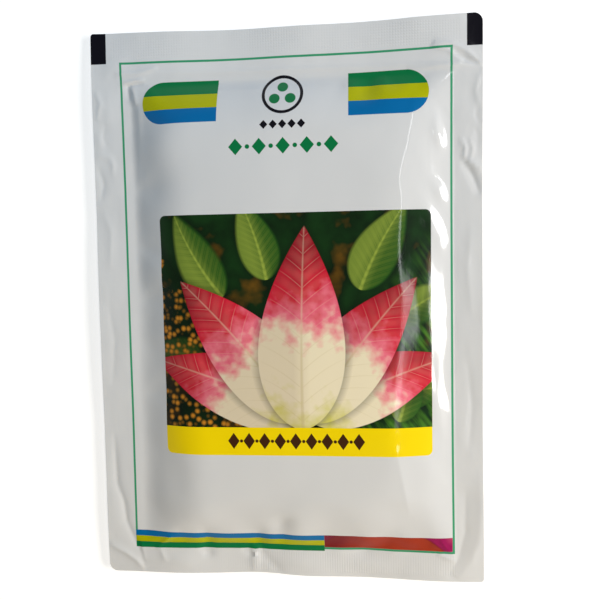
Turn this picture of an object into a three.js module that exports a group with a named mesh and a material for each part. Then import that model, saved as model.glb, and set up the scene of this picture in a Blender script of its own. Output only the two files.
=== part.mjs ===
// A filled seed packet, lying on its back.
//
// Two panels of glossy laminated film, front and back, are heat-sealed to each other along all four
// edges. The seal leaves a pocket in the middle, and a bed of small round seeds fills it, so the
// front panel bulges up like a shallow pillow. The back panel is pressed flat where it carries the
// seeds, and the sealed bands run round the pocket a few millimetres above the surface.
//
// Millimetres, +Z up. X runs across the packet and +Y to its top edge. The origin is the middle of
// the packet's outline, on the surface that it lies on.

import * as THREE from "three";

// The outline, and the seal on each side of the pocket.
const WIDTH = 140;
const HEIGHT = 200;
const SEAL_LEFT = 14.4;
const SEAL_RIGHT = 9.5;
const SEAL_TOP = 17.7;
const SEAL_BOTTOM = 10;

// The film panels, and how far apart two pieces that touch are kept.
const FILM = 0.3;
const SEAL_GAP = 0.1;
const SEED_GAP = 0.35;

// How far the pocket stands above and below the sealed bands.
const FRONT_BULGE = 6.3;
const CROWN = 0.14;
const SEAL_HEIGHT = 3.6;
const SHOULDER = 20;
const SHOULDER_POWER = 2.2;
const UNDERSIDE_SHOULDER = 9;

// How far the weight of the seeds presses the underside against the surface: the flat patch reaches
// as far as the panel would hang this much below it.
const PRESSED = 0.02;

// The pocket's rectangle.
const LEFT = -WIDTH / 2 + SEAL_LEFT;
const RIGHT = WIDTH / 2 - SEAL_RIGHT;
const BOTTOM = -HEIGHT / 2 + SEAL_BOTTOM;
const TOP = HEIGHT / 2 - SEAL_TOP;

// The cut corners: the guillotine leaves two of them round and two nearly square.
const ROUND_CORNER = 3;
const SHARP_CORNER = 1;
const CORNERS = [
  { x: -1, y: 1, radius: SHARP_CORNER },
  { x: 1, y: 1, radius: ROUND_CORNER },
  { x: 1, y: -1, radius: SHARP_CORNER },
  { x: -1, y: -1, radius: ROUND_CORNER },
];

// Filling the pocket draws the middle of each edge in a little.
const DRAWN_IN = { side: 0.5, top: 1.0, bottom: 0.6 };

// Buckles: dents in the shoulders, where the film has more length than it needs.
const BUCKLES = [
  { along: "y", side: 1, pitch: 19, depth: 0.55, phase: 0.2 },
  { along: "y", side: -1, pitch: 26, depth: 0.45, phase: 0.6 },
  { along: "x", side: -1, pitch: 31, depth: 0.6, phase: 0.35 },
  { along: "x", side: 1, pitch: 36, depth: 0.3, phase: 0.1 },
];

// Slow waves that the sealed bands are left with, along the two ends and the two sides.
const END_WAVES = { height: 0.45, pitch: 47, phase: 0.15 };
const SIDE_WAVES = { height: 0.35, pitch: 92, phase: 0.3 };
const CORNER_DROOP = 1.1;

// Steps of the panels' grid in a cut corner, on the rest of a seal, on a shoulder, and across and up
// the middle. On a shoulder they grow longer away from the seal.
const STEPS = { corner: 3, seal: 3, shoulder: 6, across: 11, up: 21 };
const STEP_GROWTH = 1.35;

// The bed of seeds stops short of the seals, where the pocket is too low for a seed. Its corners are
// round: 0 would leave them square, and 1 would make the bed an ellipse.
const BED = { inset: 5, cornerRound: 0.62, columns: 20, rows: 28 };

const clamp = (value, low, high) => Math.min(Math.max(value, low), high);
const wave = (distance, pitch, phase) => Math.sin(2 * Math.PI * (distance / pitch + phase));

// 0 at a seal's inner edge, 1 from the given distance on, steepest at the seal.
function rise(distance, length) {
  return 1 - (1 - clamp(distance / length, 0, 1)) ** SHOULDER_POWER;
}

// How full the pocket stands at a point, from 0 at the seals to 1 in the middle.
function fullness(x, y, length) {
  const across = rise(x - LEFT, length) * rise(RIGHT - x, length);
  const up = rise(y - BOTTOM, length) * rise(TOP - y, length);
  return across && up ? 1 / (1 / across + 1 / up - 1) : 0;
}

// The dents of one row of buckles: strongest halfway up the shoulder, and gone at both its ends.
function buckle({ along, side, pitch, depth, phase }, x, y) {
  const inward = {
    y: side > 0 ? RIGHT - x : x - LEFT,
    x: side > 0 ? TOP - y : y - BOTTOM,
  }[along];
  const step = clamp(inward / SHOULDER, 0, 1);
  return depth * Math.sin(Math.PI * step) * wave(along === "y" ? y : x, pitch, phase);
}

// The front panel's rise above the sealed bands.
function frontBulge(x, y) {
  const full = fullness(x, y, SHOULDER);
  const ends = (x / (WIDTH / 2)) ** 2 + (y / (HEIGHT / 2)) ** 2;
  const dents = BUCKLES.reduce((sum, row) => sum + buckle(row, x, y), 0);
  return FRONT_BULGE * full * (1 + CROWN * (0.5 - ends)) + dents * Math.sqrt(full);
}

// The height of the sealed bands, which wave a little and droop at the corners.
function bandHeight(x, y) {
  const nearEnd = (y / (HEIGHT / 2)) ** 4;
  const nearSide = (x / (WIDTH / 2)) ** 4;
  const waves =
    END_WAVES.height * nearEnd * wave(x, END_WAVES.pitch, END_WAVES.phase) +
    SIDE_WAVES.height * nearSide * wave(y, SIDE_WAVES.pitch, SIDE_WAVES.phase);
  return SEAL_HEIGHT + waves - CORNER_DROOP * nearEnd * nearSide;
}

// The four faces of the two panels, from the top down. The back panel's underside is flat on the
// surface below the seeds, and climbs to the bands round them.
const frontTop = (x, y) => frontUnder(x, y) + FILM;
const frontUnder = (x, y) => bandHeight(x, y) + SEAL_GAP / 2 + frontBulge(x, y);
const backTop = (x, y) => backUnder(x, y) + FILM;

function backUnder(x, y) {
  const band = bandHeight(x, y) - SEAL_GAP / 2 - FILM;
  const sag = fullness(x, y, UNDERSIDE_SHOULDER);
  return Math.max(0, band * (1 - sag) - PRESSED * sag);
}

// Numbers from a to b in equal steps, and from a to b in steps that grow towards b.
const even = (a, b, steps) => Array.from({ length: steps }, (_, i) => a + ((b - a) * i) / steps);
const growing = (a, b, steps) =>
  Array.from({ length: steps }, (_, i) => a + (b - a) * (i / steps) ** STEP_GROWTH);

// The lines of the panels' grid: close at the cut corners and on the shoulders, wide elsewhere.
function gridLines(low, pocketLow, pocketHigh, high, middleSteps) {
  const cornerLow = low + ROUND_CORNER;
  const cornerHigh = high - ROUND_CORNER;
  const middleLow = pocketLow + SHOULDER;
  const middleHigh = pocketHigh - SHOULDER;
  return [
    ...even(low, cornerLow, STEPS.corner),
    ...even(cornerLow, pocketLow, STEPS.seal),
    ...growing(pocketLow, middleLow, STEPS.shoulder),
    ...even(middleLow, middleHigh, middleSteps),
    middleHigh,
    ...growing(pocketHigh, middleHigh, STEPS.shoulder).reverse(),
    ...even(pocketHigh, cornerHigh, STEPS.seal).slice(1),
    ...even(cornerHigh, high, STEPS.corner),
    high,
  ];
}

// A grid point of the uncut sheet, moved to where it lies on the packet: into the round of a cut
// corner, and inwards where the edges are drawn in.
function placed(x, y) {
  for (const corner of CORNERS) {
    const a = (corner.x * x - WIDTH / 2) / corner.radius + 1;
    const b = (corner.y * y - HEIGHT / 2) / corner.radius + 1;
    if (a > 0 && b > 0) {
      x = corner.x * (WIDTH / 2 + corner.radius * (a * Math.sqrt(1 - (b * b) / 2) - 1));
      y = corner.y * (HEIGHT / 2 + corner.radius * (b * Math.sqrt(1 - (a * a) / 2) - 1));
    }
  }
  const acrossMiddle = 1 - (x / (WIDTH / 2)) ** 2;
  const upMiddle = 1 - (y / (HEIGHT / 2)) ** 2;
  const endways = y > 0 ? DRAWN_IN.top : DRAWN_IN.bottom;
  return [
    x * (1 - (DRAWN_IN.side * upMiddle) / (WIDTH / 2)),
    y * (1 - (endways * acrossMiddle) / (HEIGHT / 2)),
  ];
}

// A closed solid between two heights over a grid of points, listed row by row.
function slab(columns, rows, point, under, over) {
  const count = columns * rows;
  const vertices = [];
  for (const height of [under, over]) {
    for (let j = 0; j < rows; j++) {
      for (let i = 0; i < columns; i++) {
        const { plan, at } = point(i, j);
        vertices.push(...plan, height(...at));
      }
    }
  }
  const faces = [];
  const quad = (a, b, c, d) => faces.push(a, b, c, a, c, d);
  for (let j = 0; j + 1 < rows; j++) {
    for (let i = 0; i + 1 < columns; i++) {
      const a = j * columns + i;
      const b = a + 1;
      const c = b + columns;
      const d = a + columns;
      quad(a, d, c, b);
      // The upper face is split along the same diagonal as the lower one.
      faces.push(count + a, count + c, count + d, count + a, count + b, count + c);
    }
  }
  const rim = [];
  for (let i = 0; i + 1 < columns; i++) rim.push(i);
  for (let j = 0; j + 1 < rows; j++) rim.push(j * columns + columns - 1);
  for (let i = columns - 1; i > 0; i--) rim.push((rows - 1) * columns + i);
  for (let j = rows - 1; j > 0; j--) rim.push(j * columns);
  rim.forEach((a, k) => {
    const b = rim[(k + 1) % rim.length];
    quad(a, b, count + b, count + a);
  });
  const geometry = new THREE.BufferGeometry();
  geometry.setAttribute("position", new THREE.Float32BufferAttribute(vertices, 3));
  geometry.setIndex(faces);
  geometry.computeVertexNormals();
  return geometry;
}

function piece(name, geometry, colour, roughness) {
  const material = new THREE.MeshStandardMaterial({ color: colour, roughness, metalness: 0 });
  const mesh = new THREE.Mesh(geometry, material);
  mesh.name = name;
  return mesh;
}

// The two film panels share one grid, so their faces stay the same distance apart all over.
const xLines = gridLines(-WIDTH / 2, LEFT, RIGHT, WIDTH / 2, STEPS.across);
const yLines = gridLines(-HEIGHT / 2, BOTTOM, TOP, HEIGHT / 2, STEPS.up);

function filmPanel(name, under, over) {
  const point = (i, j) => ({
    plan: placed(xLines[i], yLines[j]),
    at: [xLines[i], yLines[j]],
  });
  return piece(name, slab(xLines.length, yLines.length, point, under, over), 0xe9ebea, 0.28);
}

// The bed of seeds: a shallow cake that fills the pocket to within a small gap of the film.
function seedBed() {
  const middle = { x: (LEFT + RIGHT) / 2, y: (BOTTOM + TOP) / 2 };
  const half = { x: (RIGHT - LEFT) / 2 - BED.inset, y: (TOP - BOTTOM) / 2 - BED.inset };
  const point = (i, j) => {
    const a = Math.sin((Math.PI / 2) * ((2 * i) / (BED.columns - 1) - 1));
    const b = Math.sin((Math.PI / 2) * ((2 * j) / (BED.rows - 1) - 1));
    const at = [
      middle.x + half.x * a * Math.sqrt(1 - (BED.cornerRound * b * b) / 2),
      middle.y + half.y * b * Math.sqrt(1 - (BED.cornerRound * a * a) / 2),
    ];
    return { plan: placed(...at), at };
  };
  const under = (x, y) => backTop(x, y) + SEED_GAP;
  const over = (x, y) => frontUnder(x, y) - SEED_GAP;
  return piece("seed_bed", slab(BED.columns, BED.rows, point, under, over), 0x6b4630, 0.8);
}

const packet = new THREE.Group();
packet.add(
  filmPanel("front_film", frontUnder, frontTop),
  filmPanel("back_film", backUnder, backTop),
  seedBed(),
);

export default packet;
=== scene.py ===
# %% [markdown]
# # A filled seed packet, lying on its back
#
# The packet is a pouch. Two panels of glossy white film, one printed, are welded together round
# their edges, and a few spoonfuls of small seeds are shut in between them. The seeds push the front
# up like a shallow pillow, and the film, which doesn't stretch, takes up the change with buckles,
# puckers and creases.
#
# A packed model already holds the pouch at its real size as plain closed solids. Everything below is
# fitted to it, so it is loaded first, and the size of each of its parts is printed.

import math
from functools import partialmethod

import bpy
import numpy as np
from mathutils import Matrix, Vector


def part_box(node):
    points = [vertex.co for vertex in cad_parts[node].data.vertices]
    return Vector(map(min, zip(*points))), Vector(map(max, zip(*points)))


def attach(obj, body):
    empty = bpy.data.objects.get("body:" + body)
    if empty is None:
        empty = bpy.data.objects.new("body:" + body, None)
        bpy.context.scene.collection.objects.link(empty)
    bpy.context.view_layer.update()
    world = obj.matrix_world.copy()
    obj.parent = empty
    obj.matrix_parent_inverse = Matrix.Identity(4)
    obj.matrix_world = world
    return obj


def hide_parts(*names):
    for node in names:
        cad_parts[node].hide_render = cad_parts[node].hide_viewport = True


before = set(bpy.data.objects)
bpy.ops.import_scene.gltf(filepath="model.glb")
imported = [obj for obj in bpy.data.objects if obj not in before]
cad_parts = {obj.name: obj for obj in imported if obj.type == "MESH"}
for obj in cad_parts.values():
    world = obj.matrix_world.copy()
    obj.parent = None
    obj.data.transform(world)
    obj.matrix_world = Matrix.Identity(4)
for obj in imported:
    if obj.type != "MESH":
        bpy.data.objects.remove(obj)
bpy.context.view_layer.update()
MM = 0.001

for node in sorted(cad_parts):
    low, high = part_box(node)
    print(node, "measures", [round(side / MM, 1) for side in high - low], "mm")

# %% [markdown]
# ## The camera
#
# The photograph looks almost straight down on the packet, from about a forearm's length away. A
# camera can be aimed with a Track To constraint, but the small roll of a hand-held shot matters too, so
# its three axes are worked out from where it stands, what it looks at, and which way is up for it.

# %% Camera
CAMERA_AT = Vector((29.3, 16.5, 237.0)) * MM
CAMERA_AIM = Vector((5.1, 2.3, 4.2)) * MM
CAMERA_UP = Vector((0.0127, 0.998, -0.0623))
LENS = 39


def aimed(place, aim, up):
    """The matrix that stands a camera or a light at a place and turns it to its aim."""
    back = (place - aim).normalized()
    right = up.cross(back).normalized()
    axes = Matrix((right, back.cross(right), back)).transposed()
    return Matrix.Translation(place) @ axes.to_4x4()


bpy.ops.object.camera_add()
camera = bpy.context.object
camera.name = "photo_camera"
camera.data.lens = LENS
camera.matrix_world = aimed(CAMERA_AT, CAMERA_AIM, CAMERA_UP)
bpy.context.scene.camera = camera
print("the camera stands", round((CAMERA_AT - CAMERA_AIM).length / MM), "mm from the packet")

# %% [markdown]
# ## The floor and the light
#
# The photograph has a plain white ground. A wide plane stands in for it. The plane glows a little, so
# that it stays pale wherever the lights don't reach. It is no part of the packet.

# %% Floor
FLOOR_SIZE = 4
FLOOR_DROP = 0.05 * MM
FLOOR_COLOUR = (0.62, 0.62, 0.62, 1)
FLOOR_GLOW = 0.55


def new_material(name):
    """A new material, its node tree, and the shader that it starts with."""
    material = bpy.data.materials.new(name)
    material.use_nodes = True
    return material, material.node_tree, material.node_tree.nodes["Principled BSDF"]


def set_inputs(node, values):
    """Sets a node's inputs by their names."""
    for name, value in values.items():
        node.inputs[name].default_value = value


bpy.ops.mesh.primitive_plane_add(size=FLOOR_SIZE, location=(0, 0, -FLOOR_DROP))
floor = bpy.context.object
floor.name = "pale_floor"
paint, _, shader = new_material("pale_floor")
set_inputs(shader, {"Base Color": FLOOR_COLOUR, "Roughness": 0.9, "Specular IOR Level": 0.1})
set_inputs(shader, {"Emission Color": (1, 1, 1, 1), "Emission Strength": FLOOR_GLOW})
floor.data.materials.append(paint)
print("the floor is", FLOOR_SIZE, "m wide")

# %% [markdown]
# A bright window stands somewhere to the right: the slope of the pouch that faces it is almost white
# and mirrors the window in patches, and the slope that faces away is a soft grey. Area lights give
# that light without hard shadows. Two stand side by side for the panes of the window. A long narrow
# one hangs further up, and its mirror image is the thin bright line down the ridge of the front. Two
# small lamps, one cool and one warm, only tint the upper left and the bottom, so they are kept out of
# the gloss, where they would show as blobs.

# %% Lights
MIDDLE = (0, 0, 0)


def area_light(name, place, aim, size, power, colour, mirrored=True):
    """A soft rectangular light, which shines towards its aim, and may be seen in gloss or not."""
    bpy.ops.object.light_add(type="AREA")
    light = bpy.context.object
    light.name = name
    light.data.shape = "RECTANGLE"
    light.data.size, light.data.size_y = size
    light.data.energy = power
    light.data.color = colour
    light.visible_glossy = mirrored
    light.visible_camera = False
    light.matrix_world = aimed(Vector(place), Vector(aim), Vector((0, 1, 0.01)))
    print(name, "is", size, "m and shines with", power, "W")


area_light("cool_window", (1.16, 0.15, 0.66), MIDDLE, (0.32, 0.40), 8.8, (1.0, 0.985, 0.965))
area_light("warm_window", (1.16, -0.20, 0.66), MIDDLE, (0.32, 0.30), 7.5, (1.0, 0.965, 0.87))
area_light("skylight", (0.45, 0.1, 1.0), MIDDLE, (0.09, 0.9), 1.78, (0.96, 0.98, 1.0))
area_light("cool_lamp", (-0.16, 0.21, 0.32), (0, 0.04, 0), (0.2, 0.2), 0.355, (0.42, 0.72, 1.0), False)
area_light("warm_lamp", (0.03, -0.25, 0.32), (0, -0.04, 0), (0.2, 0.2), 0.41, (1.0, 0.70, 0.28), False)

# %% [markdown]
# The room round the packet is a gradient. It is bright near the horizon, and dark straight overhead,
# where a flat glossy film would mirror it and wash out the print. It is dimmer on the left.

# %% Room
ROOM_BY_HEIGHT = (
    (0.0, (0.55, 0.58, 0.62)),
    (0.35, (0.42, 0.445, 0.48)),
    (0.68, (0.09, 0.095, 0.10)),
    (1.0, (0.04, 0.042, 0.045)),
)
ROOM_LEFT = 0.5
ROOM_RIGHT = 1.15


def set_stops(color_ramp, stops):
    """Gives a colour ramp these stops, each a place from 0 to 1 and a colour."""
    while len(color_ramp.elements) < len(stops):
        color_ramp.elements.new(0.5)
    for element, (place, colour) in zip(color_ramp.elements, stops):
        element.position = place
        element.color = (*colour[:3], 1)


world = bpy.data.worlds.new("studio")
bpy.context.scene.world = world
world.use_nodes = True
room = world.node_tree
direction = room.nodes.new("ShaderNodeTexCoord")
split = room.nodes.new("ShaderNodeSeparateXYZ")
walls = room.nodes.new("ShaderNodeValToRGB")
side = room.nodes.new("ShaderNodeMapRange")
set_stops(walls.color_ramp, ROOM_BY_HEIGHT)
set_inputs(side, {"From Min": -1, "To Min": ROOM_LEFT, "To Max": ROOM_RIGHT})
room.links.new(direction.outputs["Generated"], split.inputs[0])
room.links.new(split.outputs[2], walls.inputs[0])
room.links.new(split.outputs[0], side.inputs["Value"])
room.links.new(walls.outputs[0], room.nodes["Background"].inputs["Color"])
room.links.new(side.outputs[0], room.nodes["Background"].inputs["Strength"])
bpy.context.scene.view_settings.view_transform = "Standard"
print("the room shines", ROOM_LEFT, "strong on the left and", ROOM_RIGHT, "on the right")

# %% [markdown]
# ## The pouch as a height over the table
#
# A panel of a lying pouch never folds over itself, so its whole shape is one number for each point:
# how high it stands. That makes it a formula. The welded bands run round the pouch at one height, in
# slow waves, and droop at the corners. Inside the bands the film rises steeply at first and then
# levels out where the seeds carry it. These are the same sizes, in millimetres, as the solids have.

# %% Sizes of the pouch
WIDTH = 140
HEIGHT = 200
LEFT = -WIDTH / 2 + 14.4
RIGHT = WIDTH / 2 - 9.5
TOP = HEIGHT / 2 - 17.7
BOTTOM = -HEIGHT / 2 + 10
FILM = 0.13
WELD = 0.01
SEAL_HEIGHT = 3.6
FRONT_BULGE = 6.3
CROWN = 0.14
SHOULDER = 20
SHOULDER_POWER = 2.2
UNDERSIDE_SHOULDER = 9
PRESSED = 0.02


def wave(distance, depth, pitch, phase):
    """A sine wave of the given depth, with crests a pitch apart."""
    return depth * np.sin(2 * np.pi * (distance / pitch + phase))


def rise(distance, length):
    """0 at a seal's inner edge and 1 from the given distance on, steepest at the seal."""
    return 1 - (1 - np.clip(distance / length, 0, 1)) ** SHOULDER_POWER


def fullness(x, y, length):
    """How full the pocket stands at a point, from 0 at the seals to 1 in the middle."""
    across = rise(x - LEFT, length) * rise(RIGHT - x, length)
    up = rise(y - BOTTOM, length) * rise(TOP - y, length)
    return joined(across, up)


def joined(across, up):
    """The fullness of a pocket whose two slopes meet round a corner."""
    return across * up / np.maximum(across + up - across * up, 1e-9)


def within_pocket(full):
    """1 where the pocket stands at least a quarter full, fading to 0 at the seals."""
    return np.clip(4 * full, 0, 1)


print("inside its seals the pocket is", round(RIGHT - LEFT, 1), "by", round(TOP - BOTTOM, 1), "mm")

# %% [markdown]
# The solids have the same shoulder all round. The photograph shows more. On the left the film leaves
# the seal in a long curve. On the right it goes up in three stages: a steep strip along the seal, a
# flatter facet, and past a crisp ridge, which wanders down the front some 17 mm inside the seal, a slow
# rise to the middle. The lower of two heights, taken at each point, joins two such planes at a kink,
# and a softness rounds the kink off.

# %% Shoulders of the front
LEFT_FOOT = [(-90, 7), (-55, 7.5), (-30, 7), (-14, 10), (0, 7), (15, 4), (50, 3.2), (68, 1.8),
             (80, 0.6)]
LEFT_SHOULDER = [(20, SHOULDER), (45, 23), (82, 22)]
RIDGE = [(-90, 54), (-74, 47.5), (-68, 43.5), (-60, 41.5), (-40, 41.4), (-26, 41.8), (-12, 42.2),
         (2, 42.2), (16, 41.8), (26, 42.1), (33.8, 42.7), (37.9, 42.8), (43, 42.0), (47.4, 42.5),
         (52.1, 43.8), (56, 45.0), (59.1, 45.5), (64.6, 46.7), (71, 47.3), (74.7, 47.7), (82, 50)]
RIDGE_SOFTNESS = [(-90, 0.6), (-50, 0.5), (-30, 0.25), (0, 0.09), (28, 0.04), (36, 0.008),
                  (60, 0.008), (70, 0.04), (84, 0.1)]
RIGHT_FOOT = 1.0
END_FOOT = 2.5
SEAL_SLOPE = 0.37
KNEE = 9.5
KNEE_SOFTNESS = 0.12
FACET_SLOPE = 0.255
BEYOND_SLOPE = 0.115
LEAST_BEYOND = 0.2


def eased(distance, foot):
    """A distance from a seal that counts gently at first, so that the film leaves it in a curve."""
    inside = np.clip(distance, 0, None)
    return np.hypot(inside, foot) - foot


def read_off(y, stops):
    """A value read off a list of stops, each a y and the value there."""
    return np.interp(y, *zip(*stops))


def lower_of(a, b, softness):
    """The lower of two heights, with the kink between them rounded off."""
    return -softness * np.logaddexp(-a / softness, -b / softness)


def right_rise(x, y):
    """0 at the right seal, a steep strip, a flatter facet, and past the ridge a slow rise to 1."""
    inward = eased(RIGHT - x, RIGHT_FOOT)
    to_ridge = RIGHT - read_off(y, RIDGE)
    strip = SEAL_SLOPE * inward
    facet = SEAL_SLOPE * KNEE + FACET_SLOPE * (inward - KNEE)
    at_ridge = SEAL_SLOPE * KNEE + FACET_SLOPE * (to_ridge - KNEE)
    left_to_rise = np.clip(FRONT_BULGE - at_ridge, LEAST_BEYOND, None)
    past = (inward - to_ridge) * BEYOND_SLOPE / (2 * left_to_rise)
    beyond = at_ridge + left_to_rise * (2 * np.clip(past, None, 1) - np.clip(past, 0, 1) ** 2)
    strip_and_facet = lower_of(strip, facet, KNEE_SOFTNESS)
    height = lower_of(strip_and_facet, beyond, read_off(y, RIDGE_SOFTNESS))
    return height / FRONT_BULGE


def front_fullness(x, y):
    """How full the front stands, with its own shoulders."""
    left_rise = rise(eased(x - LEFT, read_off(y, LEFT_FOOT)), read_off(y, LEFT_SHOULDER))
    across = left_rise * np.clip(right_rise(x, y), 0, None)
    up = rise(eased(y - BOTTOM, END_FOOT), SHOULDER) * rise(eased(TOP - y, END_FOOT), SHOULDER)
    return joined(across, up)


print("across its middle the front is", front_fullness(np.array([-50, 0, 40, 55]), 0).round(2), "full")

# %% [markdown]
# ## Buckles, puckers and creases
#
# Film bends in only one direction at a time. Where it has to bend in two, next to a seal and in the
# corners, it gives way in buckles and sharp creases. Those could be sculpted by hand, or left to a
# cloth simulation, but then they wouldn't sit where the photograph shows them. Here each kind has a
# short formula, and a list says where on the packet it lies.

# %% Formulas for the folds of a film


def along_path(x, y, path):
    """Each point's distance from a path, and how far along the path it is, from 0 to 1."""
    reached = np.cumsum([0] + [math.dist(a, b) for a, b in zip(path, path[1:])])
    nearest = np.full(x.shape, np.inf)
    share = np.zeros(x.shape)
    for start, (ax, ay), (bx, by) in zip(reached, path, path[1:]):
        length = math.dist((ax, ay), (bx, by))
        step = np.clip(((x - ax) * (bx - ax) + (y - ay) * (by - ay)) / length**2, 0, 1)
        distance = np.hypot(x - ax - step * (bx - ax), y - ay - step * (by - ay))
        closer = distance < nearest
        nearest = np.where(closer, distance, nearest)
        share = np.where(closer, (start + step * length) / reached[-1], share)
    return nearest, share


def crease(x, y, path, height, width, edge=0.35):
    """A crisp ridge along a path, or a valley if its height is negative, with nearly flat sides."""
    distance, share = along_path(x, y, path)
    side = np.exp((edge - np.hypot(distance, edge)) / width)
    return height * side * np.sin(np.pi * share) ** 0.5


def swelling(x, y, place, reach, height, turn=0):
    """A soft round rise, or a dent if its height is negative, that reaches further along its turn."""
    along = (x - place[0]) * math.cos(turn) + (y - place[1]) * math.sin(turn)
    across = (y - place[1]) * math.cos(turn) - (x - place[0]) * math.sin(turn)
    return height * np.exp(-((along / reach[0]) ** 2) - (across / reach[1]) ** 2)


def pucker(inward, beside, place, height, width, reach, lean=0):
    """A fold that starts as a point at a seal, and widens and fades as it runs inwards."""
    step = np.clip(inward, 0, None) / reach
    offset = beside - place - lean * inward
    return height * step * np.exp(1 - step) * np.exp(-((offset / (width * (0.3 + step))) ** 2))


def ripple(x, y, pitch, seed):
    """Random smooth waves between -1 and 1, about a pitch long."""
    cells = 8 + int(2 * HEIGHT / pitch)
    heights = np.random.default_rng(seed).uniform(-1, 1, (cells, cells))
    column, row = x / pitch + cells / 2, y / pitch + cells / 2
    i, j = np.floor(column).astype(int), np.floor(row).astype(int)
    u, v = column - i, row - j
    u, v = u**3 * (u * (6 * u - 15) + 10), v**3 * (v * (6 * v - 15) + 10)
    near = heights[j, i] * (1 - u) + heights[j, i + 1] * u
    far = heights[j + 1, i] * (1 - u) + heights[j + 1, i + 1] * u
    return near * (1 - v) + far * v


def ripples(x, y, layers):
    """Layers of such waves, each with its pitch, its depth and its seed."""
    return sum(depth * ripple(x, y, pitch, seed) for pitch, depth, seed in layers)


print("a pucker 1 mm high, from a seal inwards:", pucker(np.arange(0, 13, 3), 0, 0, 1, 2, 3).round(2))

# %% [markdown]
# ### The folds of the welded bands
#
# Both films are one sheet here, so they share these folds. The right band has a forked crease and two
# small crescents above it, the top right corner is crossed by three soft folds, and the lower left
# corner by two that meet at the edge. A few start on the pouch itself, right beside a seal. The fine
# ripples fade where the seeds draw the film tight, because rippled gloss would break up the mirrored
# window.

# %% Height of the welded bands
BAND_CREASES = [
    ([(-58, 82), (-54.5, 82.8), (-50, 83.2)], 0.5, 0.5, 0.2),
    ([(-57, 81.2), (-53.5, 81.8), (-50.5, 82)], -0.4, 0.5, 0.2),
    ([(-57.2, 82), (-56.3, 79.6), (-55.2, 76.2)], -0.5, 1, 0.25),
    ([(-55.4, 81.2), (-54.3, 78.4), (-53.2, 74)], 0.55, 0.9, 0.3),
    ([(-61, 85.5), (-52, 85.6), (-45, 87.4)], 0.4, 0.6),
    ([(-46, 85.6), (0, 85), (44, 84.2), (64, 83.4)], 0.25, 0.6),
    ([(-51.6, -91), (-48.4, -88.4), (-45, -86)], 0.4, 0.45, 0.2),
    ([(54.4, -84.4), (56.8, -88.4), (59.8, -91.2)], 0.4, 0.5, 0.2),
    ([(51.4, -85.6), (55.6, -89.6)], 0.25, 0.5),
    ([(62.3, 51.6), (65.3, 47.4), (67, 44.3), (69.2, 38.5)], -0.8, 0.9, 0.25),
    ([(62.3, 51.6), (66, 49.4), (70, 46.8)], 0.8, 0.8, 0.25),
    ([(62, 58), (64.3, 54.8), (63.5, 51.2)], 0.45, 0.55, 0.2),
    ([(65.2, 57.6), (66.9, 54.2), (65.6, 50.6)], 0.42, 0.55, 0.2),
    ([(67.4, 62), (68.6, 58), (67.8, 53.5)], -0.15, 0.7),
    ([(53, 91), (59.6, 90), (64.4, 87.6), (70, 82.6)], 0.75, 0.9, 0.25),
    ([(52, 90.2), (58.2, 88.2), (63.2, 84)], 0.5, 0.75, 0.25),
    ([(59.5, 87.2), (65, 84.6), (70, 81.9)], -0.5, 0.8),
    ([(44, 82.6), (51.8, 82.9), (62, 83.3), (70, 82.4)], 0.45, 0.75),
    ([(68.8, 80), (67.6, 74), (68.9, 68)], 0.18, 0.7),
    ([(68.6, 70), (67.9, 66), (69.2, 62)], -0.16, 0.7),
    ([(-69.5, 56.6), (-66.7, 56.4), (-64, 55.2), (-62.9, 53), (-63.2, 49)], 0.32, 0.8),
    ([(-68.8, 52), (-66.8, 46), (-68.2, 40)], -0.3, 0.9),
    ([(-68.4, 80), (-66.9, 75), (-68.4, 69)], 0.3, 0.9),
    ([(-65.2, 68), (-66.4, 63), (-64.9, 59)], -0.2, 0.9),
    ([(-67.4, 36), (-64.5, 28), (-65.6, 14)], 0.28, 1.6),
    ([(-66.5, 2), (-64.8, -12), (-66.3, -30)], -0.3, 1.8),
    ([(-66.4, -47), (-66, -66.7), (-63.6, -73.6), (-62.8, -81), (-60.7, -86.4), (-57, -93.2),
      (-56.3, -99.8)], -0.5, 1.15),
    ([(-69.6, -89.8), (-67, -91.2), (-63.4, -92.9), (-59.5, -95.5), (-56, -99.4)], 0.6, 0.9),
    ([(-57.4, -88.5), (-56, -96)], 0.3, 0.6),
    ([(-13.2, -88), (-13.9, -100)], 0.7, 0.6, 0.2),
    ([(-12.6, -90.5), (-8.5, -95), (-3, -100.5)], -0.4, 1.1),
    ([(-17.8, -89.6), (-14.4, -93.8)], -0.6, 0.7),
    ([(-33.8, -89), (-30.5, -94.4)], -0.7, 0.9),
    ([(-50, -90.5), (-47.6, -96)], 0.3, 1),
    ([(63.8, -66), (63.4, -82), (61.2, -91), (57.2, -99)], -0.45, 2.2, 0.5),
    ([(69.2, -60), (69.2, -76), (68.2, -86), (65.6, -92.5), (60.4, -99)], 0.5, 2.6, 0.8),
    ([(53.2, -90.2), (60.2, -92.8)], 0.4, 0.6),
    ([(64.6, -20), (66.4, -36), (64.9, -52)], -0.3, 1.6),
    ([(66.2, 28), (64.8, 12), (66.4, -4)], 0.22, 1.6),
]
BAND_SWELLINGS = [
    ((-64.5, 72), (3.2, 5), 0.25, 0.1), ((-67.6, 62), (2, 2.6), 0.2), ((-61, 88), (5, 3), 0.3, 0.4),
    ((66, 72), (2.2, 3.5), -0.15, 0.2), ((30, -95.5), (9, 3), 0.35),
    ((-31, -87.4), (1.8, 5), -0.5, 0.2), ((-11.5, -87.6), (2.2, 5), -0.5, -0.2),
    ((18, -90), (3, 2.6), 0.3), ((27, -90.5), (3, 2.4), -0.3), ((38, -90), (4, 2.6), 0.3),
    ((2, -95), (8, 3), 0.3), ((-42, -95.5), (7, 3), 0.4),
]
BAND_RIPPLES = [(11, 0.08, 3), (5.5, 0.04, 4), (2.6, 0.016, 6)]
SQUEEZED = 1.4
END_WAVE = (0.45, 47, 0.15)
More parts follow.
